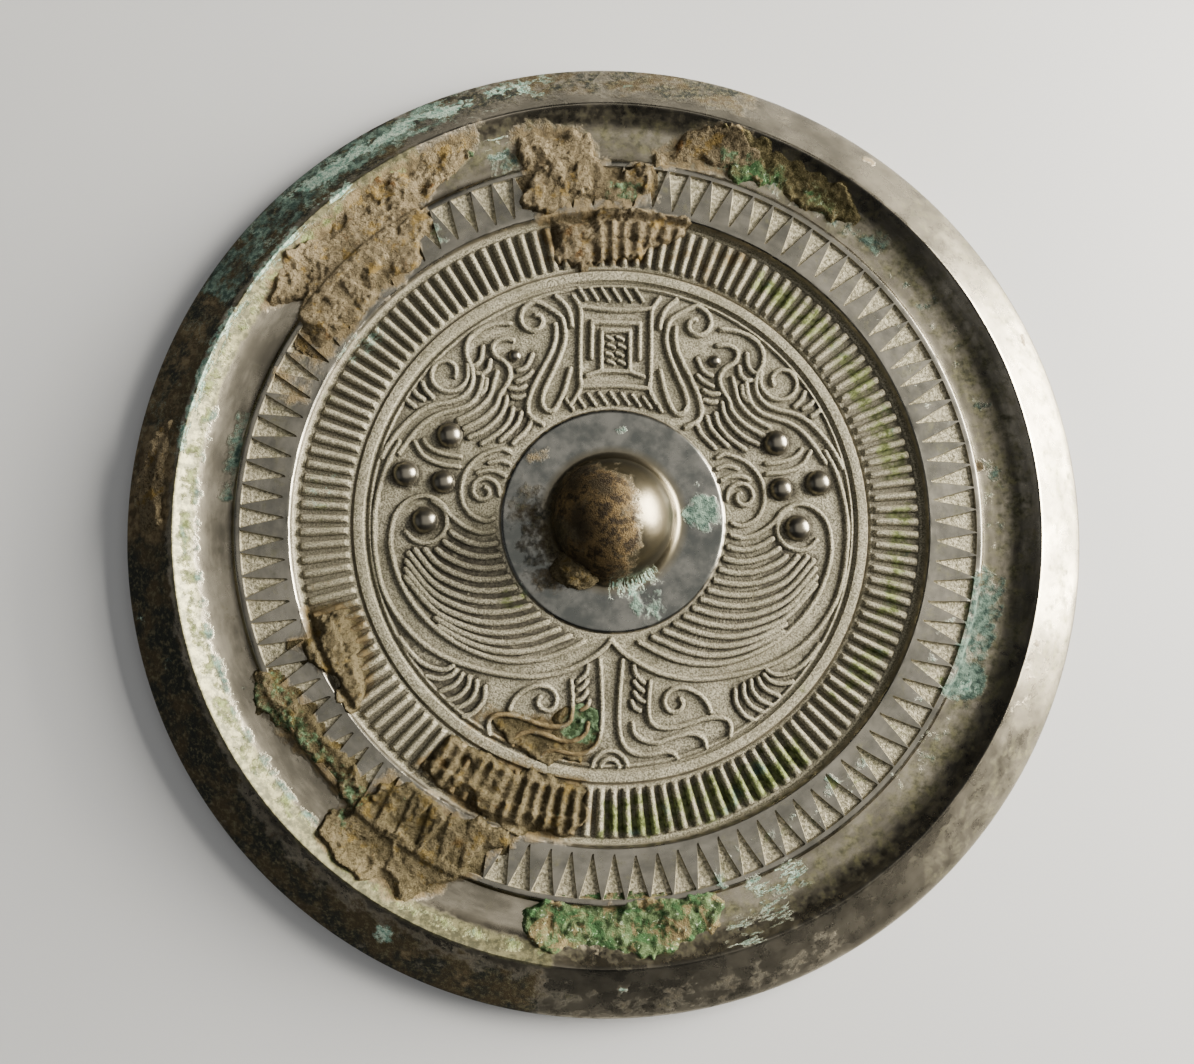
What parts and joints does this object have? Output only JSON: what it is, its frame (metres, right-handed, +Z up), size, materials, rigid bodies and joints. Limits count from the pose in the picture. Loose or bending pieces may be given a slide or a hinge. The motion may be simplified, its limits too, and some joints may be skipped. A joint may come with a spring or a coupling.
{
  "type": "ancient bronze mirror",
  "caption": "Round cast bronze mirror, back up: pierced domed knob, phoenix ornament, comb and tooth bands, plain trough and tall sloping rim, with soil and green corrosion.",
  "frame": {"origin": "centre of the flat spot of the polished face, on the surface the mirror lies on", "axes": "+Z up out of the ornamented back, +Y the direction in which the ornament stands upright and along the cord hole"},
  "size_m": [0.12, 0.12, 0.013],
  "materials": {
    "bronze": "cast high-tin bronze, dark grey-brown patina, worn bright on the rim, matte cast skin in the field",
    "soil": "rough dry burial soil, tan to brown",
    "verdigris": "crusty green copper corrosion, pale to dark green"
  },
  "bodies": {
    "root": {"mirror": "bronze"}
  },
  "joints": []
}
